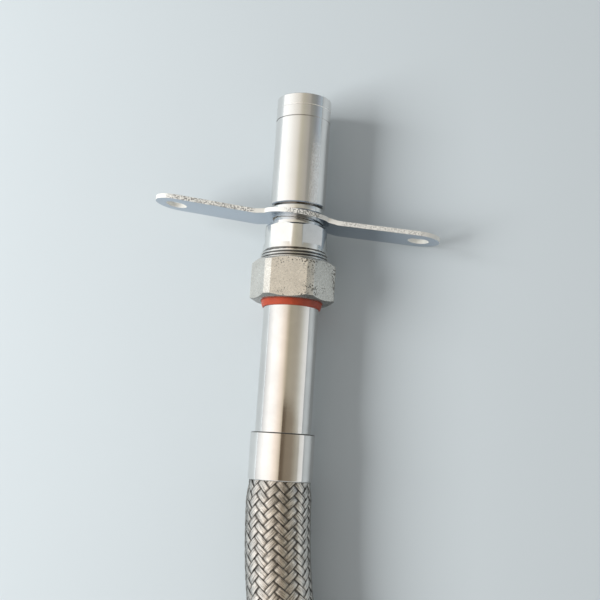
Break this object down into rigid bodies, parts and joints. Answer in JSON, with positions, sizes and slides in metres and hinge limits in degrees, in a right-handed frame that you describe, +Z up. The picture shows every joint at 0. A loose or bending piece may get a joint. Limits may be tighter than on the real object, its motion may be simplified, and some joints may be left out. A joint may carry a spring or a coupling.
{
  "type": "flexible sprinkler hose",
  "caption": "Braided metal hose for a fire sprinkler drop, with a union at each end, a long outlet tube and a loose mounting bracket with an ear on each side.",
  "frame": {"origin": "centre of the outlet tube's mouth, on the outlet end's axis", "axes": "+Y out of the outlet's mouth, +Z up from the surface the hose lies on, +X the way the inlet end points"},
  "size_m": [0.4325, 0.4585, 0.041],
  "materials": {
    "polished_sleeve": "polished steel sleeve with fine turning lines",
    "plated_steel": "bright plated, machined steel",
    "zinc_sheet": "zinc-plated sheet, smooth faces and rough sheared edges",
    "zinc_nut": "zinc-plated nut with a pitted, speckled surface",
    "isolation_plastic": "moulded orange-red plastic",
    "gasket_rubber": "black rubber",
    "satin_stainless": "satin stainless steel",
    "hose_stainless": "dull stainless steel bellows",
    "braid_wire": "woven stainless wire"
  },
  "bodies": {
    "hose": {"outlet_tube": "polished_sleeve", "lock_ring": "plated_steel", "outlet_nipple": "plated_steel", "outlet_union_nut": "zinc_nut", "outlet_isolation_ring": "isolation_plastic", "outlet_gasket": "gasket_rubber", "outlet_end_tube": "satin_stainless", "outlet_ferrule": "satin_stainless", "corrugated_hose": "hose_stainless", "wire_braid": "braid_wire", "inlet_ferrule": "satin_stainless", "inlet_end_tube": "satin_stainless", "inlet_isolation_ring": "isolation_plastic", "inlet_gasket": "gasket_rubber", "inlet_union_nut": "zinc_nut", "inlet_nipple": "plated_steel"},
    "bracket": {"mounting_bracket": "zinc_sheet"}
  },
  "joints": [
    {"name": "bracket_swivel", "type": "hinge", "parent": "hose", "child": "bracket", "pos_m": [0, -0.0658, 0], "axis": [0, 1, 0], "continuous": true}
  ]
}
